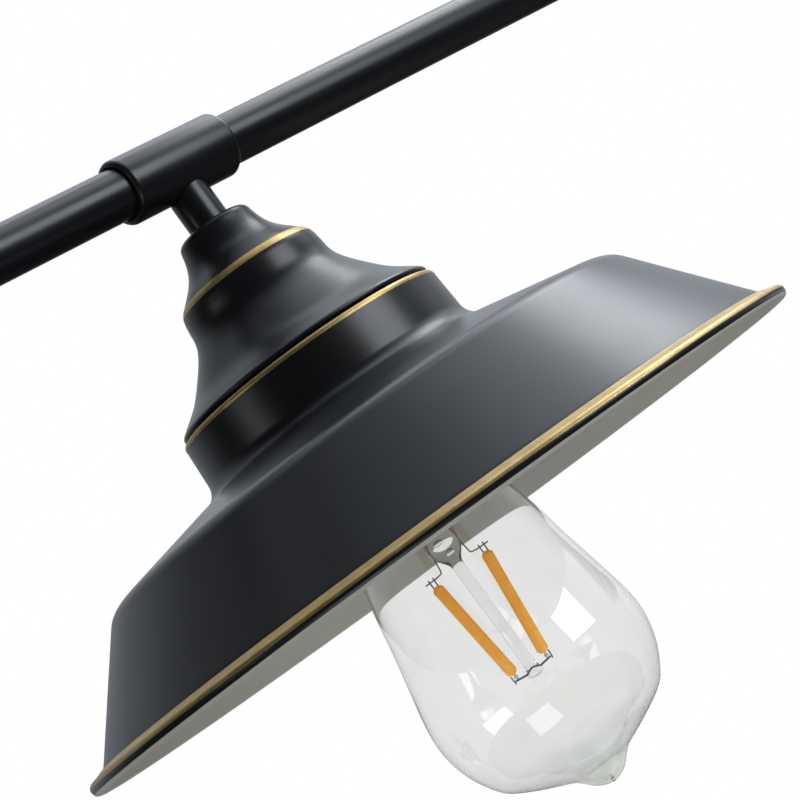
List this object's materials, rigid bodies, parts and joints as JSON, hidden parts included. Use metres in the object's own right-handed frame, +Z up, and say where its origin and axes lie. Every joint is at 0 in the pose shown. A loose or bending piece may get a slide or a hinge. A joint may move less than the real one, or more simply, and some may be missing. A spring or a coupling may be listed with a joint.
{
  "type": "pool table lamp",
  "caption": "Ceiling lamp for a pool table: a straight bar with wide metal shades and filament bulbs, hung on two rods that swivel in a long canopy.",
  "frame": {"origin": "middle of the ceiling bracket's upper face, on the ceiling", "axes": "+Z up to the ceiling, X along the bar, Y across the table"},
  "size_m": [1.02, 0.22, 0.5981],
  "materials": {
    "black_paint": "satin",
    "gold_paint": "satin metallic",
    "white_enamel": "satin",
    "brass": "satin",
    "zinc": "zinc plated",
    "phenolic": "moulded",
    "white_nylon": "moulded",
    "clear_glass": "clear",
    "phosphor": "coated filament"
  },
  "bodies": {
    "canopy": {"bracket": "zinc", "terminal_block": "white_nylon", "canopy": "black_paint", "canopy_screw_left": "black_paint", "canopy_screw_right": "black_paint"},
    "lamp": {"rod_left": "black_paint", "rod_collar_left": "black_paint", "bar_left": "black_paint", "end_cap_left": "black_paint", "swivel_ball_left": "zinc", "rod_right": "black_paint", "rod_collar_right": "black_paint", "bar_right": "black_paint", "end_cap_right": "black_paint", "swivel_ball_right": "zinc", "tee_collar_left": "black_paint", "nipple_left": "zinc", "stem_left": "black_paint", "cap_left": "black_paint", "locknut_left": "zinc", "socket_body_left": "phenolic", "socket_shell_left": "brass", "shade_ring_left": "phenolic", "shade_left": "black_paint", "tee_collar_middle": "black_paint", "nipple_middle": "zinc", "stem_middle": "black_paint", "cap_middle": "black_paint", "locknut_middle": "zinc", "socket_body_middle": "phenolic", "socket_shell_middle": "brass", "shade_ring_middle": "phenolic", "shade_middle": "black_paint", "tee_collar_right": "black_paint", "nipple_right": "zinc", "stem_right": "black_paint", "cap_right": "black_paint", "locknut_right": "zinc", "socket_body_right": "phenolic", "socket_shell_right": "brass", "shade_ring_right": "phenolic", "shade_right": "black_paint"},
    "bulb_left_lift": {"bulb_contact_left": "zinc"},
    "bulb_left": {"bulb_base_left": "brass", "bulb_insulator_left": "phenolic", "bulb_glass_left": "clear_glass", "bulb_stem_left": "clear_glass", "bulb_filaments_left": "phosphor"},
    "bulb_middle_lift": {"bulb_contact_middle": "zinc"},
    "bulb_middle": {"bulb_base_middle": "brass", "bulb_insulator_middle": "phenolic", "bulb_glass_middle": "clear_glass", "bulb_stem_middle": "clear_glass", "bulb_filaments_middle": "phosphor"},
    "bulb_right_lift": {"bulb_contact_right": "zinc"},
    "bulb_right": {"bulb_base_right": "brass", "bulb_insulator_right": "phenolic", "bulb_glass_right": "clear_glass", "bulb_stem_right": "clear_glass", "bulb_filaments_right": "phosphor"}
  },
  "joints": [
    {"name": "lamp_swing", "type": "hinge", "parent": "canopy", "child": "lamp", "pos_m": [0, 0, -0.01621], "axis": [1, 0, 0], "range_deg": [-15, 15]},
    {"name": "bulb_left_travel", "type": "slide", "parent": "lamp", "child": "bulb_left_lift", "axis": [0, 0, -1], "range_m": [0, 0.0146]},
    {"name": "bulb_left_turn", "type": "hinge", "parent": "bulb_left_lift", "child": "bulb_left", "pos_m": [-0.4, 0, -0.5236], "axis": [0, 0, -1], "range_deg": [0, 1440]},
    {"name": "bulb_middle_travel", "type": "slide", "parent": "lamp", "child": "bulb_middle_lift", "axis": [0, 0, -1], "range_m": [0, 0.0146]},
    {"name": "bulb_middle_turn", "type": "hinge", "parent": "bulb_middle_lift", "child": "bulb_middle", "pos_m": [0, 0, -0.5236], "axis": [0, 0, -1], "range_deg": [0, 1440]},
    {"name": "bulb_right_travel", "type": "slide", "parent": "lamp", "child": "bulb_right_lift", "axis": [0, 0, -1], "range_m": [0, 0.0146]},
    {"name": "bulb_right_turn", "type": "hinge", "parent": "bulb_right_lift", "child": "bulb_right", "pos_m": [0.4, 0, -0.5236], "axis": [0, 0, -1], "range_deg": [0, 1440]}
  ],
  "couplings": [
    {"joint": "bulb_left_travel", "follows": "bulb_left_turn", "m_per_rad": 0.00057773},
    {"joint": "bulb_middle_travel", "follows": "bulb_middle_turn", "m_per_rad": 0.00057773},
    {"joint": "bulb_right_travel", "follows": "bulb_right_turn", "m_per_rad": 0.00057773}
  ]
}
